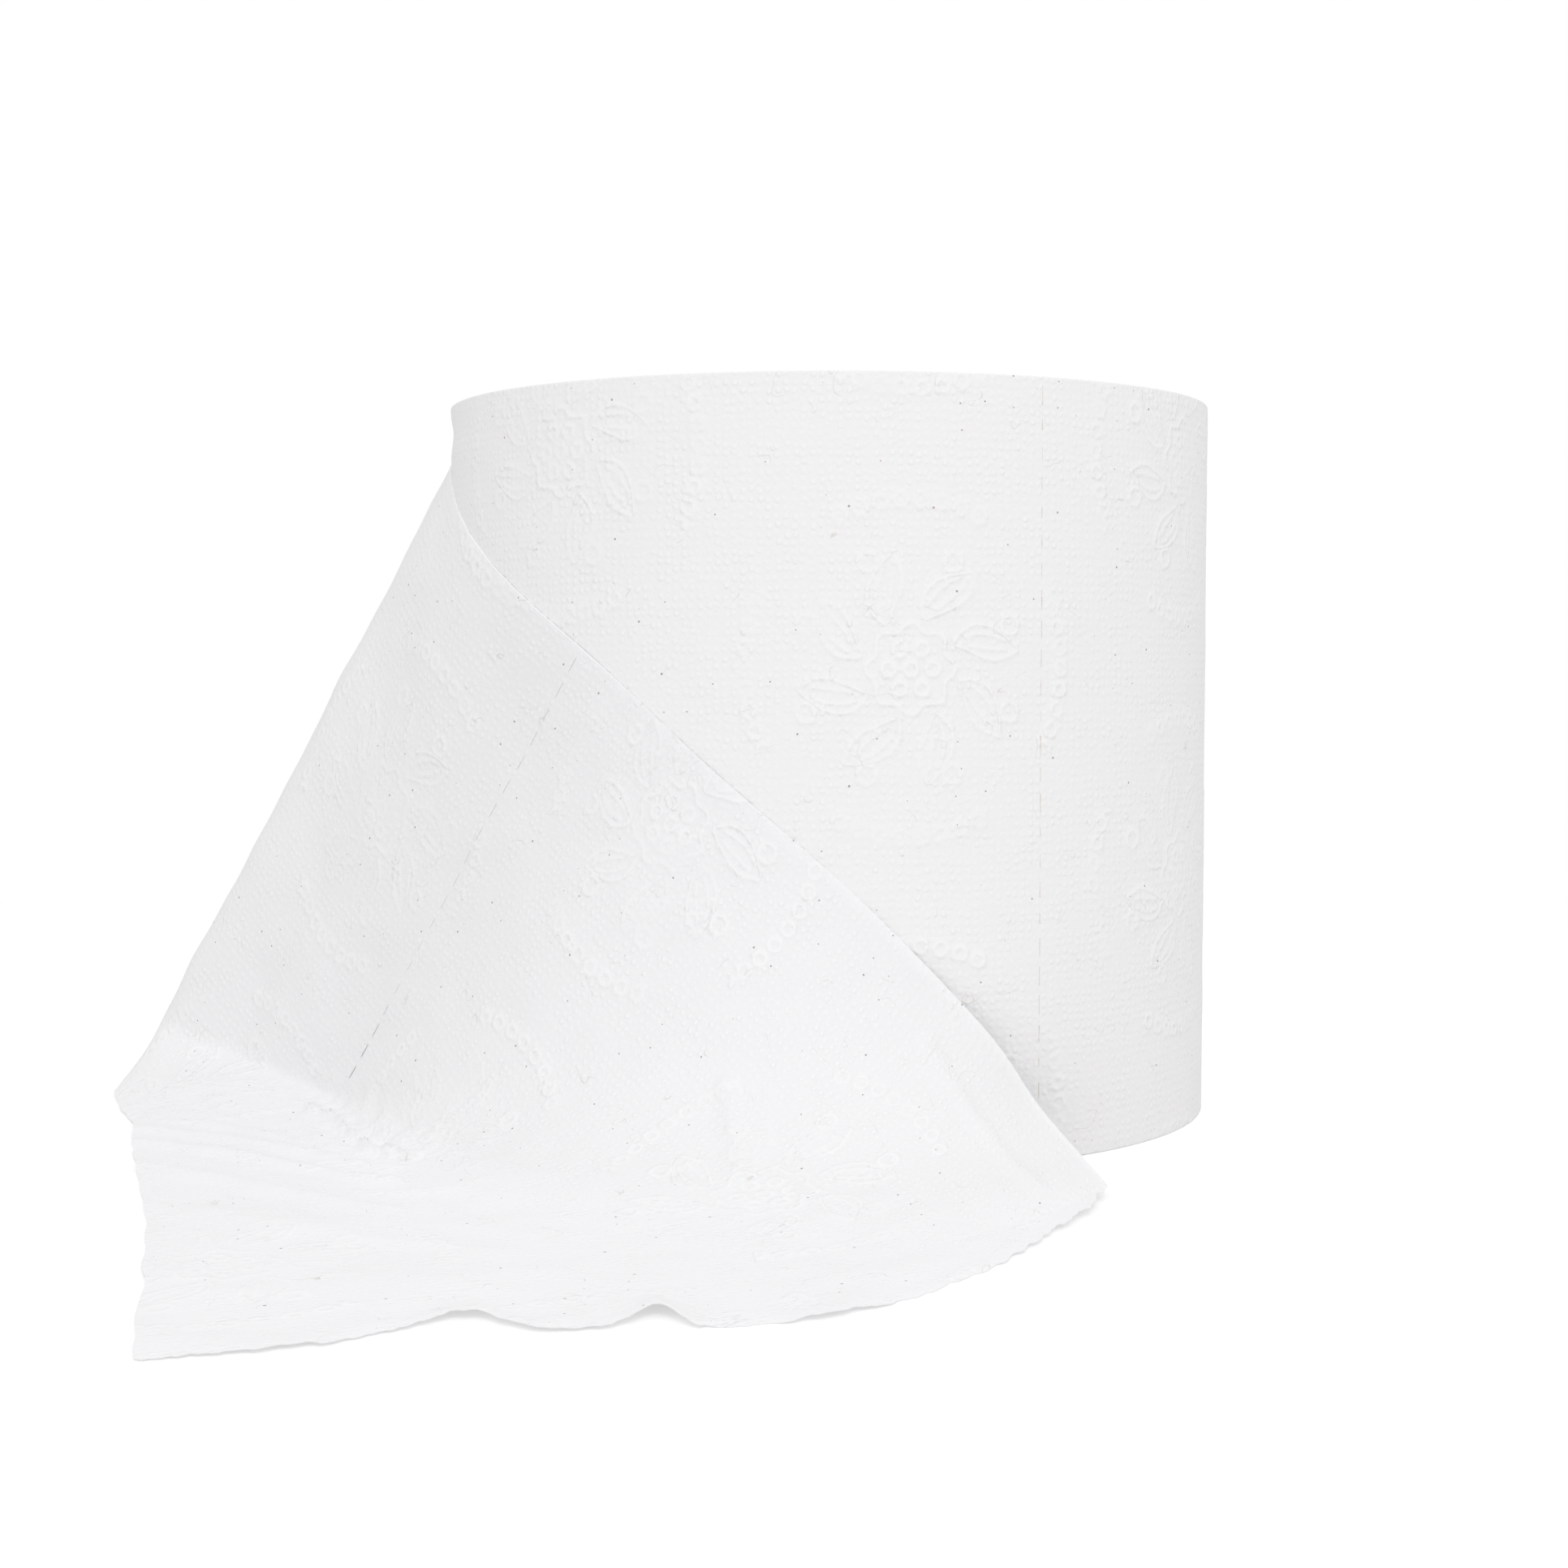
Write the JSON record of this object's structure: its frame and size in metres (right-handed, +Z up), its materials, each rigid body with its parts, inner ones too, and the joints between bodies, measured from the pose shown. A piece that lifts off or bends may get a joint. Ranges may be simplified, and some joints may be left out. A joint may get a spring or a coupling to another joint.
{
  "type": "toilet paper roll",
  "caption": "Roll of embossed white tissue wound on a cardboard core, standing on its end, with its torn loose end leaning down the front and lying on the surface.",
  "frame": {"origin": "on the core's axis, at the surface that the roll stands on", "axes": "+Z up along the core's axis, -Y towards the front, where the loose end lies"},
  "size_m": [0.1532, 0.1821, 0.095],
  "materials": {
    "tissue": "matt, embossed",
    "core_card": "matt grey-brown card"
  },
  "bodies": {
    "root": {"paper_roll": "tissue", "core_tube": "core_card"}
  },
  "joints": []
}
